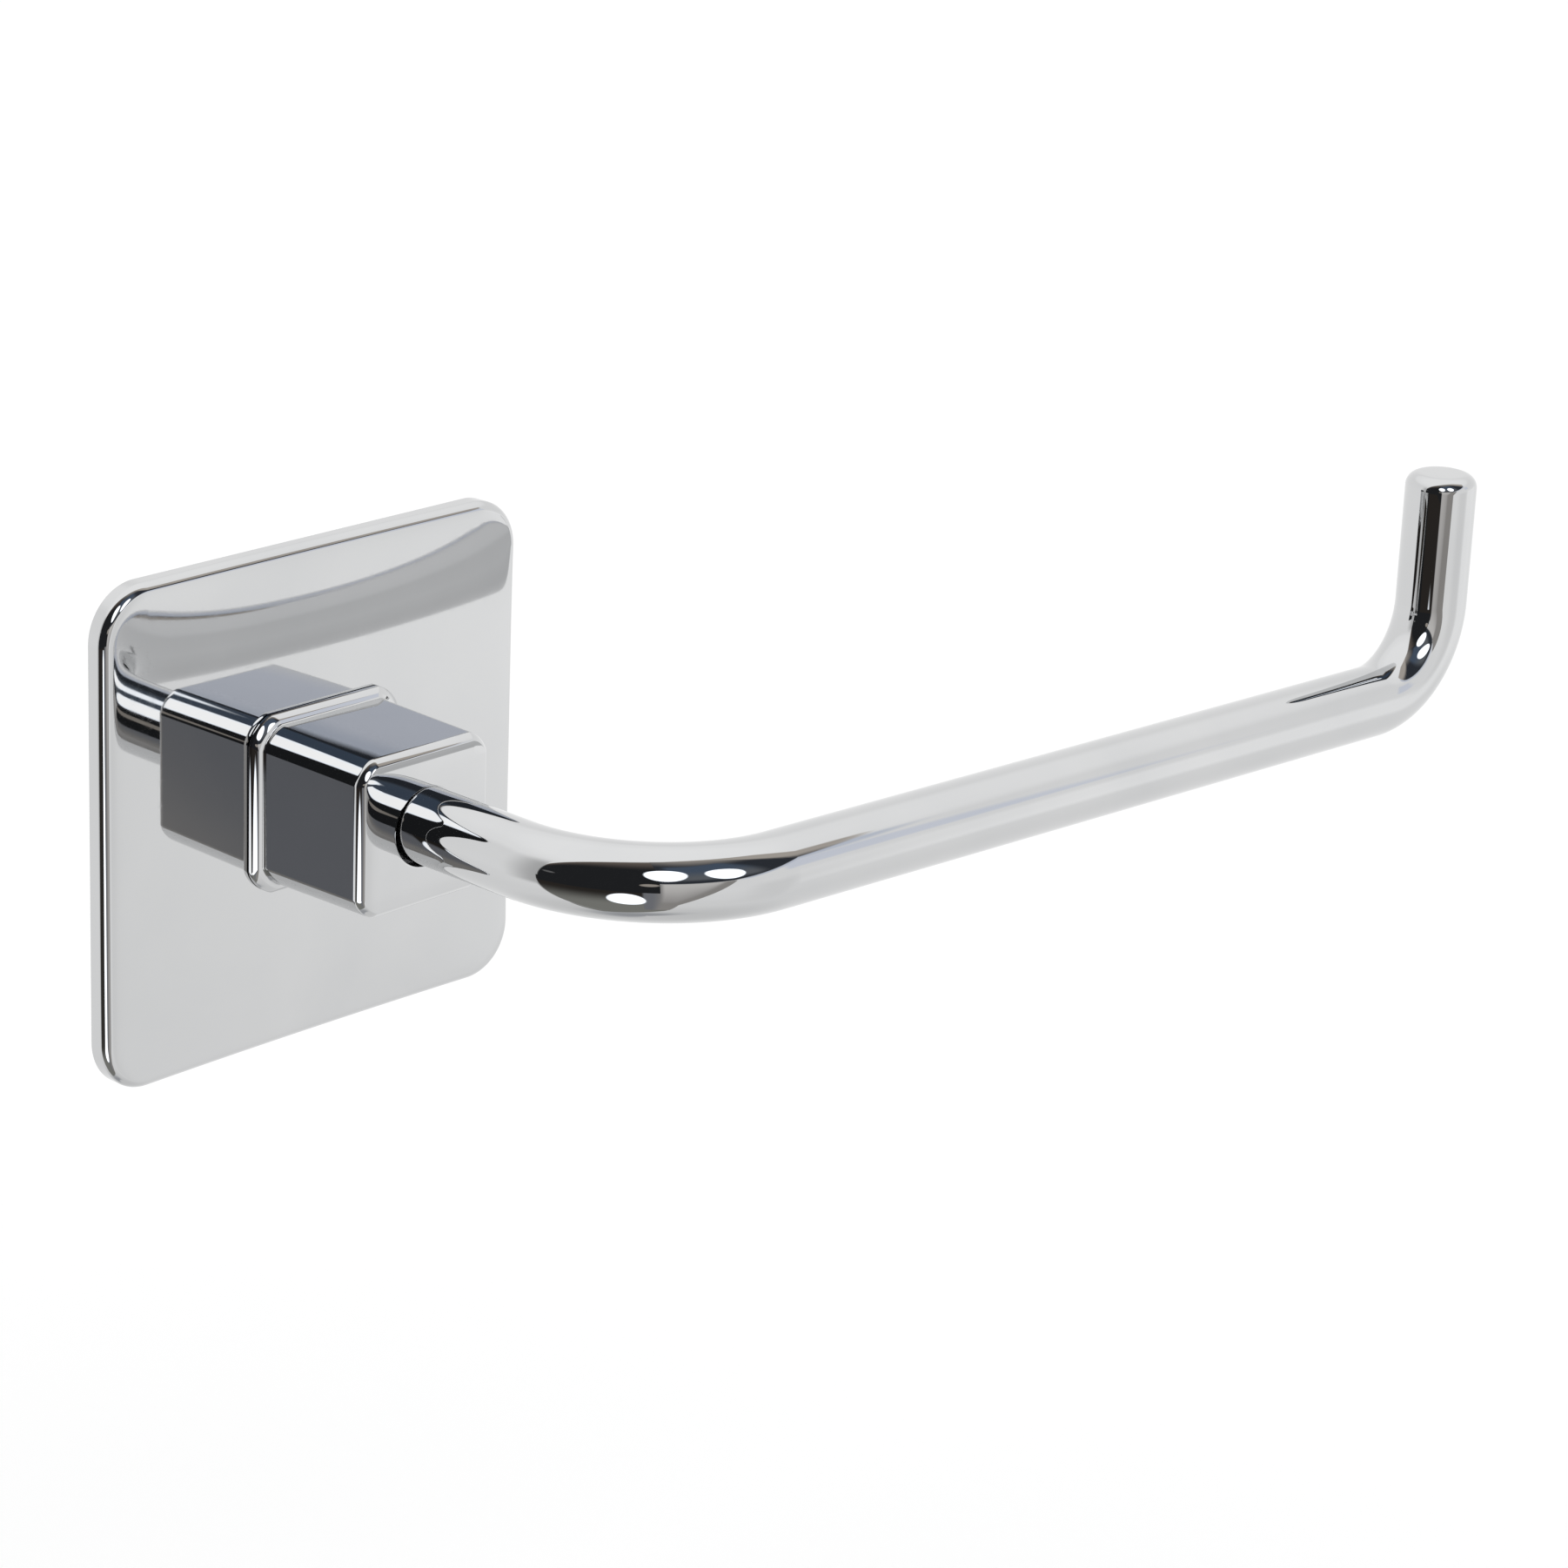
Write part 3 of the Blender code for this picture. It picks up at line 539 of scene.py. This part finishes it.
def turned_steel(name, dark, light, low_rough, high_rough):
    """Machined steel: lines from turning, uneven tint and light handling marks."""
    made = Nodes(name)
    tint = made.spread(made.noise(240.0, detail=4.0), start=0.3, end=0.7)
    colour = made.blend(tint, dark, light)
    lines = made.noise(500.0, place=made.stretched(scale=(1.0, 12.0, 1.0)))
    marks = made.spread(made.noise(900.0, detail=3.0), low=low_rough, high=high_rough, start=0.3, end=0.7)
    rough = made.sum(marks, made.spread(lines, high=0.06))
    made.shader.inputs["Metallic"].default_value = 1.0
    return made.finish(colour, rough, made.bump(lines, depth=0.02 * MM))


def closed_cell_foam():
    """Black foam tape: small closed cells, a slightly uneven shade and a soft dull skin."""
    made = Nodes("closed_cell_foam")
    shade = made.spread(made.noise(160.0, detail=5.0), start=0.3, end=0.7)
    colour = made.blend(shade, (0.035, 0.035, 0.036), (0.065, 0.065, 0.066))
    rough = made.spread(made.noise(1200.0, detail=3.0), low=0.72, high=0.92, start=0.3, end=0.7)
    skin = made.bump(made.noise(900.0, detail=4.0), depth=0.06 * MM)
    cells = made.bump(made.spread(made.cells(2400.0), end=0.6), depth=0.08 * MM, below=skin)
    made.shader.inputs["Specular IOR Level"].default_value = 0.3
    return made.finish(colour, rough, cells)


def dress(node, material):
    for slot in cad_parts[node].material_slots:
        slot.material = material


def stand_for(piece, node, material):
    piece.data.materials.append(material)
    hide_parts(node)
    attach(piece, "root")


plate_mirror = coated_chrome("plate_mirror", cloud_scale=38.0, wave_scale=34.0,
                             wave_depth=0.022 * MM, polish=0.02)
rod_mirror = coated_chrome("rod_mirror", cloud_scale=55.0, wave_scale=40.0,
                           wave_depth=0.008 * MM, polish=0.012)
stand_for(make_wall_plate(), "face_plate", plate_mirror)
stand_for(make_boss_shell(), "boss_cover", boss_chrome())
stand_for(make_bent_rod(), "arm_rod", rod_mirror)
foam_pad = make_foam_pad()
stand_for(foam_pad, "adhesive_pad", closed_cell_foam())

zinc_sheet = zinc_plated("zinc_sheet", dark=(0.42, 0.43, 0.44), light=(0.58, 0.59, 0.6), spangle=240.0)
dress("backing_plate", zinc_sheet)
dress("boss_core", rough_casting("tumbled_casting"))
fastener_steel = turned_steel("fastener_steel", dark=(0.46, 0.46, 0.47), light=(0.62, 0.62, 0.63),
                              low_rough=0.2, high_rough=0.34)
blackened_steel = turned_steel("blackened_steel", dark=(0.03, 0.03, 0.032), light=(0.07, 0.07, 0.073),
                               low_rough=0.34, high_rough=0.5)
for fastener in ("core_screw_1", "core_screw_2", "core_screw_3", "core_screw_4",
                 "arm_screw", "arm_pin", "flat_washer", "spring_washer"):
    dress(fastener, fastener_steel)
dress("grub_screw", blackened_steel)

# Camera -------------------------------------------------------------------------------------
# Distances are in metres from the frame's origin, which is on the wall behind the plate's middle.
CAMERA_AZIMUTH = math.radians(-47.82)
CAMERA_ELEVATION = math.radians(19.27)
CAMERA_ROLL = math.radians(2.29)
CAMERA_DISTANCE = 0.6370
CAMERA_RIGHT_OF_PLATE = 0.06201
CAMERA_ABOVE_PLATE = 0.0002
CAMERA_LENS = 113.87


def make_camera():
    back = Vector((
        math.sin(CAMERA_AZIMUTH) * math.cos(CAMERA_ELEVATION),
        -math.cos(CAMERA_AZIMUTH) * math.cos(CAMERA_ELEVATION),
        math.sin(CAMERA_ELEVATION),
    ))
    level_right = Vector((math.cos(CAMERA_AZIMUTH), math.sin(CAMERA_AZIMUTH), 0.0))
    level_up = back.cross(level_right)
    right = level_right * math.cos(CAMERA_ROLL) + level_up * math.sin(CAMERA_ROLL)
    up = level_up * math.cos(CAMERA_ROLL) - level_right * math.sin(CAMERA_ROLL)
    camera = bpy.data.objects.new("camera", bpy.data.cameras.new("camera"))
    camera.data.lens = CAMERA_LENS
    camera.data.sensor_width = 36.0
    camera.data.clip_start = 0.01
    camera.data.clip_end = 50.0
    place = right * CAMERA_RIGHT_OF_PLATE + up * CAMERA_ABOVE_PLATE + back * CAMERA_DISTANCE
    camera.matrix_world = Matrix((
        (right.x, up.x, back.x, place.x),
        (right.y, up.y, back.y, place.y),
        (right.z, up.z, back.z, place.z),
        (0.0, 0.0, 0.0, 1.0),
    ))
    bpy.context.scene.collection.objects.link(camera)
    bpy.context.scene.camera = camera


make_camera()

# Studio -------------------------------------------------------------------------------------
# A white light tent that is open towards the camera. A direction is a side angle, in degrees to the
# camera's right, and a rise in degrees, both seen from the outer side of the rod's first bend.
STUDIO_CENTRE = Vector((6.0 * MM, -60.0 * MM, 3.0 * MM))
TENT_RADIUS = 0.45
PANEL_STEPS = 40
NO_FADE = (0.0, 0.0, 0.0, 0.0)
# (share of the lamp's half size, cover)
LAMP_RINGS = ((0.4, 1.0), (0.7, 1.0), (0.9, 1.0), (0.96, 0.85), (1.02, 0.2), (1.06, 0.0))
LAMP_MIDDLE_RINGS = 2            # the rings with the middle's glow; the others have the rim's

ROOF_HEIGHT = 5.9                # height of the tent's upper edge over its distance
ROOF_NEAREST = (26.0, 36.5)      # side angles between which that edge is nearest
SILL_RISE = 14.5
SILL_BEND = 50.0                 # side angle from which the sill climbs
SILL_CLIMB = 0.29
SILL_END = 98.0                  # side angle from which it climbs faster
SILL_END_CLIMB = 0.35
TABLE_DROP = 5.2                 # drop to the table's front edge over its distance
TABLE_NEAREST = -45.0

FLOOR_DROP = 0.10
FLOOR_HALF_SIZE = 6.0


def towards(side, rise):
    turn = CAMERA_AZIMUTH + math.radians(side)
    up = math.radians(rise)
    return Vector((math.sin(turn) * math.cos(up), -math.cos(turn) * math.cos(up), math.sin(up)))


def smooth(value, start, end):
    if start == end:
        return 1.0 if value >= start else 0.0
    share = min(1.0, max(0.0, (value - start) / (end - start)))
    return share * share * (3.0 - 2.0 * share)


def smooth_up(across, up):
    return smooth(up, 0.0, 1.0)


def glow_material():
    material = bpy.data.materials.new("panel_glow")
    material.use_nodes = True
    nodes = material.node_tree.nodes
    links = material.node_tree.links
    nodes.remove(nodes["Principled BSDF"])
    glow = nodes.new("ShaderNodeAttribute")
    glow.attribute_name = "glow"
    emission = nodes.new("ShaderNodeEmission")
    clear = nodes.new("ShaderNodeBsdfTransparent")
    mix = nodes.new("ShaderNodeMixShader")
    links.new(glow.outputs["Color"], emission.inputs["Color"])
    links.new(glow.outputs["Alpha"], mix.inputs["Fac"])
    links.new(clear.outputs["BSDF"], mix.inputs[1])
    links.new(emission.outputs["Emission"], mix.inputs[2])
    links.new(mix.outputs["Shader"], nodes["Material Output"].inputs["Surface"])
    return material


panel_glow = glow_material()


def place_panel(name, shape):
    mesh = bpy.data.meshes.new(name)
    shape.to_mesh(mesh)
    shape.free()
    mesh.materials.append(panel_glow)
    piece = bpy.data.objects.new(name, mesh)
    bpy.context.scene.collection.objects.link(piece)
    # only reflections show it
    piece.visible_camera = False
    piece.visible_diffuse = False
    piece.visible_shadow = False
    return piece


def panel(name, sides, floor_and_roof, colours, soft=NO_FADE, radius=TENT_RADIUS, blend=smooth_up):
    """
    A curved panel from one side angle to another; floor_and_roof gives its lower and upper rise there.

    Its glow goes from the first colour to the second by blend, which gets the share of the way across
    and the share of the way up. It fades out over soft degrees at its left, right, lower and upper edges.
    """
    left, right = sides
    fade_left, fade_right, fade_low, fade_high = soft
    shape = bmesh.new()
    layer = shape.verts.layers.float_color.new("glow")
    grid = []
    for row in range(PANEL_STEPS + 1):
        line = []
        for column in range(PANEL_STEPS + 1):
            side = left + (right - left) * column / PANEL_STEPS
            low, high = floor_and_roof(side)
            rise = low + (high - low) * row / PANEL_STEPS
            vert = shape.verts.new(STUDIO_CENTRE + radius * towards(side, rise))
            share = blend(column / PANEL_STEPS, row / PANEL_STEPS)
            colour = [first + (last - first) * share for first, last in zip(*colours)]
            cover = smooth(side - left, 0.0, fade_left) * smooth(right - side, 0.0, fade_right)
            cover *= smooth(rise - low, 0.0, fade_low) * smooth(high - rise, 0.0, fade_high)
            vert[layer] = (*colour, cover)
            line.append(vert)
        grid.append(line)
    for row in range(PANEL_STEPS):
        for column in range(PANEL_STEPS):
            shape.faces.new((grid[row][column], grid[row][column + 1],
                             grid[row + 1][column + 1], grid[row + 1][column]))
    return place_panel(name, shape)


def lamp(name, side, rise, half_width, half_height, colours, radius):
    """A round panel; side and rise give its middle, and colours the glow of its middle and of its rim."""
    middle_glow, rim_glow = colours
    shape = bmesh.new()
    layer = shape.verts.layers.float_color.new("glow")
    centre = shape.verts.new(STUDIO_CENTRE + radius * towards(side, rise))
    centre[layer] = (*middle_glow, 1.0)
    loops = []
    for step, (reach, cover) in enumerate(LAMP_RINGS):
        glow = middle_glow if step < LAMP_MIDDLE_RINGS else rim_glow
        loop = []
        for index in range(4 * PANEL_STEPS):
            angle = math.radians(90.0) * index / PANEL_STEPS
            up = rise + half_height * reach * math.sin(angle)
            # a degree of side angle is shorter further up, so the lamp is widened there to stay round
            widen = math.cos(math.radians(rise)) / math.cos(math.radians(up))
            point = towards(side + half_width * widen * reach * math.cos(angle), up)
            vert = shape.verts.new(STUDIO_CENTRE + radius * point)
            vert[layer] = (*glow, cover)
            loop.append(vert)
        loops.append(loop)
    count = len(loops[0])
    for index in range(count):
        following = (index + 1) % count
        shape.faces.new((centre, loops[0][index], loops[0][following]))
        for inner, outer in zip(loops, loops[1:]):
            shape.faces.new((inner[index], outer[index], outer[following], inner[following]))
    return place_panel(name, shape)


def opening_roof(side):
    """Rise of the tent's straight upper edge, nearly overhead."""
    turned = max(0.0, side - ROOF_NEAREST[1]) + min(0.0, side - ROOF_NEAREST[0])
    return math.degrees(math.atan(ROOF_HEIGHT * math.cos(math.radians(turned))))


def right_sill(side):
    """Rise of the tent's right-hand lower edge, which climbs to meet the upper one."""
    rise = SILL_RISE + SILL_CLIMB * max(0.0, side - SILL_BEND)
    return rise + SILL_END_CLIMB * max(0.0, side - SILL_END)


def table_front(side):
    """Rise of the table's straight front edge, nearly underneath."""
    return -math.degrees(math.atan(TABLE_DROP * math.cos(math.radians(side - TABLE_NEAREST))))


def opening_span(side):
    sill = right_sill(side)
    return sill, max(sill + 0.5, opening_roof(side))


def opening_blend(across, up):
    """Dark low down, lighter towards the upper edge and at the far right."""
    near_roof = smooth(up, 0.75 - 0.3 * across, 1.0) * (0.35 + 0.65 * across)
    return max(near_roof, smooth(across + 0.16 * up, 0.87, 0.93))


def stand_span(side):
    """The stand's foot is level at its left, and steps up and climbs at its right."""
    foot = -64.0
    if side > 21.0:
        foot = max(foot, -48.0 + 2.05 * (side - 21.0))
    return foot, 15.0


def even(red, green, blue):
    """One glow over a whole panel."""
    return ((red, green, blue), (red, green, blue))


LAMP_GLOW = ((2.2, 2.18, 2.16), (2.1, 2.18, 2.3))

# Where panels overlap, the one with the smaller radius hides the other.
panel("opening_left", sides=(-58.5, 9.0), floor_and_roof=lambda side: (-11.0, opening_roof(side)),
      colours=((0.02, 0.021, 0.023), (0.17, 0.14, 0.12)), soft=(1.0, 0.0, 0.0, 3.0),
      blend=lambda across, up: smooth(up, 0.7, 1.0))
panel("opening_right", sides=(9.0, 112.0), floor_and_roof=opening_span,
      colours=((0.035, 0.04, 0.05), (0.52, 0.475, 0.43)), soft=(0.0, 1.5, 1.0, 2.0),
      blend=opening_blend)
panel("table", sides=(-58.5, 20.0), floor_and_roof=lambda side: (table_front(side), 0.0),
      colours=((0.25, 0.25, 0.23), (0.03, 0.026, 0.023)), soft=(2.0, 1.0, 2.0, 0.0), radius=2.2,
      blend=lambda across, up: smooth(up, 0.35, 0.8))
panel("table_foot", sides=(-74.0, -58.0),
      floor_and_roof=lambda side: (table_front(side), -57.0 + 1.6 * (side + 58.0)),
      colours=even(0.25, 0.25, 0.23), soft=(2.0, 0.0, 2.0, 2.0), radius=2.2)
panel("stand", sides=(-0.5, 51.5), floor_and_roof=stand_span,
      colours=((0.215, 0.22, 0.24), (0.34, 0.325, 0.31)), soft=(1.5, 0.0, 1.5, 0.0), radius=2.1,
      blend=lambda across, up: smooth(across, 0.1, 0.25))
panel("reflector", sides=(8.8, 47.0),
      floor_and_roof=lambda side: (-44.0 + 2.05 * max(0.0, side - 19.0), 16.0),
      colours=((0.4, 0.385, 0.375), (0.7, 0.68, 0.66)), soft=(3.0, 3.0, 12.0, 2.0), radius=0.455)
panel("blue_card", sides=(80.0, 99.0), floor_and_roof=lambda side: (11.5, 28.5),
      colours=((0.82, 0.855, 0.95), (0.81, 0.845, 0.94)), soft=(6.0, 4.0, 4.0, 4.0), radius=2.0)
panel("sill_glow", sides=(52.0, 108.0),
      floor_and_roof=lambda side: (right_sill(side) - 3.5, right_sill(side) + 0.8),
      colours=even(0.68, 0.73, 0.84), soft=(8.0, 5.0, 3.0, 0.0), radius=0.46)
panel("dim_side", sides=(50.0, 92.0), floor_and_roof=lambda side: (-50.0, 4.0),
      colours=even(0.9, 0.9, 0.9), soft=(20.0, 12.0, 16.0, 14.0), radius=2.5)
panel("bright_side", sides=(84.0, 150.0), floor_and_roof=lambda side: (-25.0, 10.0),
      colours=even(1.13, 1.13, 1.13), soft=(11.0, 35.0, 10.0, 9.0), radius=2.6)
panel("lamp_haze", sides=(12.0, 78.0), floor_and_roof=lambda side: (20.0, 66.0),
      colours=((0.14, 0.15, 0.165), (0.08, 0.11, 0.16)), soft=(9.0, 12.0, 8.0, 6.0), radius=0.446,
      blend=lambda across, up: smooth(up, 0.2, 0.7))
lamp("small_card", side=3.5, rise=11.0, half_width=5.5, half_height=4.0,
     colours=((0.4, 0.36, 0.32), (0.3, 0.27, 0.24)), radius=0.44)
lamp("far_glint", side=-52.0, rise=14.0, half_width=4.0, half_height=2.2,
     colours=((0.15, 0.15, 0.15), (0.08, 0.08, 0.08)), radius=TENT_RADIUS - 0.01)
lamp("lamp_middle", side=13.9, rise=38.0, half_width=13.3, half_height=15.3, colours=LAMP_GLOW, radius=0.44)
lamp("lamp_right", side=50.6, rise=34.4, half_width=11.9, half_height=13.4, colours=LAMP_GLOW, radius=0.43)
lamp("lamp_low", side=-9.6, rise=-32.0, half_width=10.9, half_height=16.2, colours=LAMP_GLOW, radius=1.2)
panel("tent_edge", sides=(-82.0, -58.0), floor_and_roof=lambda side: (-26.0, 45.0),
      colours=even(0.56, 0.56, 0.56), soft=(24.0, 0.0, 10.0, 18.0), radius=0.47)
panel("under", sides=(-180.0, 80.0), floor_and_roof=lambda side: (-89.5, -68.0),
      colours=even(0.42, 0.43, 0.45), soft=(40.0, 50.0, 0.0, 16.0), radius=2.4)


def make_floor():
    floor = bpy.data.meshes.new("floor")
    shape = bmesh.new()
    bmesh.ops.create_grid(shape, x_segments=1, y_segments=1, size=FLOOR_HALF_SIZE)
    shape.to_mesh(floor)
    shape.free()
    material = bpy.data.materials.new("pale_floor")
    material.use_nodes = True
    shader = material.node_tree.nodes["Principled BSDF"]
    shader.inputs["Base Color"].default_value = (0.95, 0.95, 0.95, 1.0)
    shader.inputs["Roughness"].default_value = 0.9
    shader.inputs["Specular IOR Level"].default_value = 0.1
    floor.materials.append(material)
    piece = bpy.data.objects.new("floor", floor)
    piece.location.z = cad_low.z - FLOOR_DROP
    # reflections show the panels and the world instead
    piece.visible_glossy = False
    bpy.context.scene.collection.objects.link(piece)


make_floor()

# (share of the way from straight down to straight up, brightness)
SKY_LEVELS = ((0.0, 0.78), (0.14, 0.93), (0.3, 0.97), (0.42, 1.0),
              (0.6, 0.985), (0.75, 0.975), (0.83, 1.09), (0.93, 1.15))


def make_world():
    """White all round, a little brighter overhead and a little dimmer below."""
    world = bpy.data.worlds.new("studio")
    bpy.context.scene.world = world
    world.use_nodes = True
    nodes = world.node_tree.nodes
    links = world.node_tree.links
    direction = nodes.new("ShaderNodeTexCoord")
    split = nodes.new("ShaderNodeSeparateXYZ")
    spread = nodes.new("ShaderNodeMapRange")
    spread.inputs["From Min"].default_value = -1.0
    spread.inputs["From Max"].default_value = 1.0
    ramp = nodes.new("ShaderNodeValToRGB")
    ramp.color_ramp.interpolation = "EASE"
    stops = ramp.color_ramp.elements
    for index, (height, level) in enumerate(SKY_LEVELS):
        # a new ramp has two stops
        stop = stops[index] if index < 2 else stops.new(height)
        stop.position = height
        stop.color = (level, level, level, 1.0)
    links.new(direction.outputs["Generated"], split.inputs["Vector"])
    links.new(split.outputs["Z"], spread.inputs["Value"])
    links.new(spread.outputs["Result"], ramp.inputs["Fac"])
    links.new(ramp.outputs["Color"], nodes["Background"].inputs["Color"])


make_world()
bpy.context.scene.view_settings.view_transform = "Standard"
